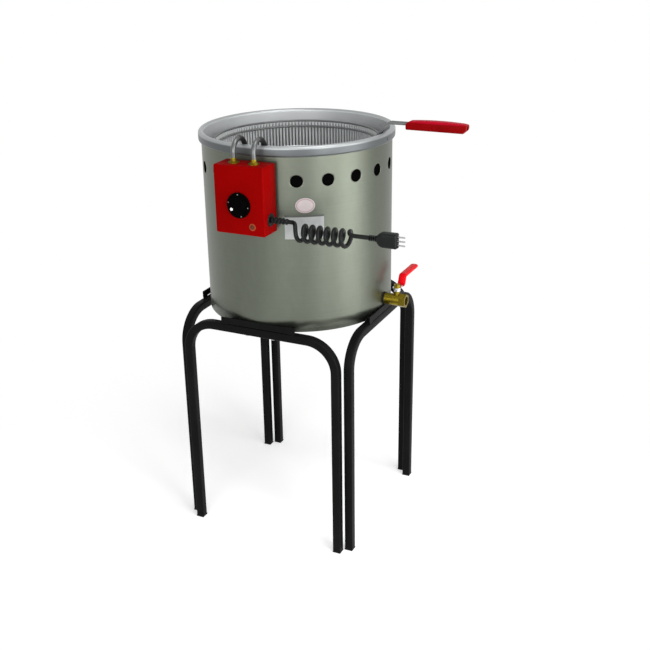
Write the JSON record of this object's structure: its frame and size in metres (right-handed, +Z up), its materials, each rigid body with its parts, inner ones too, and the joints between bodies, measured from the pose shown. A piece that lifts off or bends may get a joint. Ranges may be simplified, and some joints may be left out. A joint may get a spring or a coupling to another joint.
{
  "type": "electric drum fryer",
  "caption": "Electric deep fryer: a steel drum with an inner pot on a square-tube stand, a lift-out heater with control box and curly cord, a wire basket and a drain valve.",
  "frame": {"origin": "on the floor under the drum's axis", "axes": "+Z up, -Y towards the control box, +X towards the drain valve and the basket's handle"},
  "size_m": [0.5772, 0.4738, 0.913],
  "materials": {
    "stand_black": "satin black powder coat",
    "foot_black": "matte",
    "zinc_steel": "zinc plated",
    "jacket_steel": "brushed, greenish grey",
    "wrap_dark": "matt",
    "pot_aluminium": "satin",
    "rivet_dark": "dark",
    "plate_silver": "satin, blank",
    "plate_white": "satin, blank with a dark strip",
    "seal_black": "matt",
    "brass": "cast and turned",
    "bright_steel": "polished",
    "seat_white": "smooth",
    "lever_red": "dipped",
    "basket_wire": "bright plated",
    "grip_red": "moulded",
    "box_red": "satin red",
    "inner_plastic": "moulded",
    "knob_black": "moulded",
    "mark_white": "printed",
    "lamp_tan": "moulded",
    "lamp_amber": "clear tinted",
    "terminal_white": "moulded",
    "element_steel": "sheathed, darkened by heat",
    "cord_grey": "matt",
    "pin_bright": "plated"
  },
  "bodies": {
    "drum_and_stand": {"front_frame": "stand_black", "right_frame": "stand_black", "back_frame": "stand_black", "left_frame": "stand_black", "foot_plugs": "foot_black", "guide_strips": "stand_black", "stand_bolts": "zinc_steel", "stand_nuts": "zinc_steel", "drum_base": "zinc_steel", "drum_jacket": "jacket_steel", "insulation_wrap": "wrap_dark", "inner_pot": "pot_aluminium", "rim_rivets": "rivet_dark", "badge_plate": "plate_silver", "rating_plate": "plate_white", "drain_gasket": "seal_black", "drain_nipple": "brass", "drain_lock_nut": "brass", "valve_body": "brass", "valve_end": "brass", "valve_seats": "seat_white", "packing_nut": "bright_steel"},
    "drain_lever": {"valve_ball": "bright_steel", "valve_stem": "brass", "valve_lever": "bright_steel", "lever_sleeve": "lever_red", "lever_nut": "brass"},
    "heater": {"control_box": "box_red", "box_back_plate": "zinc_steel", "box_screws": "zinc_steel", "thermostat": "inner_plastic", "lamp_ring": "lamp_tan", "lamp_lens": "lamp_amber", "terminal_block": "terminal_white", "heating_element": "element_steel", "element_fittings": "brass", "fitting_nuts": "brass", "guard_plate": "zinc_steel", "guard_legs": "zinc_steel", "loop_clips": "zinc_steel", "cord_gland": "cord_grey", "power_cord": "cord_grey", "plug_body": "cord_grey", "plug_pins": "pin_bright"},
    "knob": {"knob_shaft": "zinc_steel", "control_knob": "knob_black", "knob_marks": "mark_white"},
    "basket": {"basket_top_ring": "basket_wire", "basket_second_ring": "basket_wire", "basket_wall": "basket_wire", "basket_floor": "basket_wire", "basket_handle": "basket_wire", "handle_grip": "grip_red"}
  },
  "joints": [
    {"name": "heater_lift", "type": "slide", "parent": "drum_and_stand", "child": "heater", "axis": [0, 0, 1], "range_m": [0, 0.37]},
    {"name": "basket_lift", "type": "slide", "parent": "heater", "child": "basket", "axis": [0, 0, 1], "range_m": [0, 0.34]},
    {"name": "knob_turn", "type": "hinge", "parent": "heater", "child": "knob", "pos_m": [0.002, -0.2546, 0.77853], "axis": [0, 1, 0], "range_deg": [0, 270]},
    {"name": "lever_turn", "type": "hinge", "parent": "drum_and_stand", "child": "drain_lever", "pos_m": [0.2287, 0, 0.5285], "axis": [0, 0, 1], "range_deg": [-90, 0]}
  ]
}
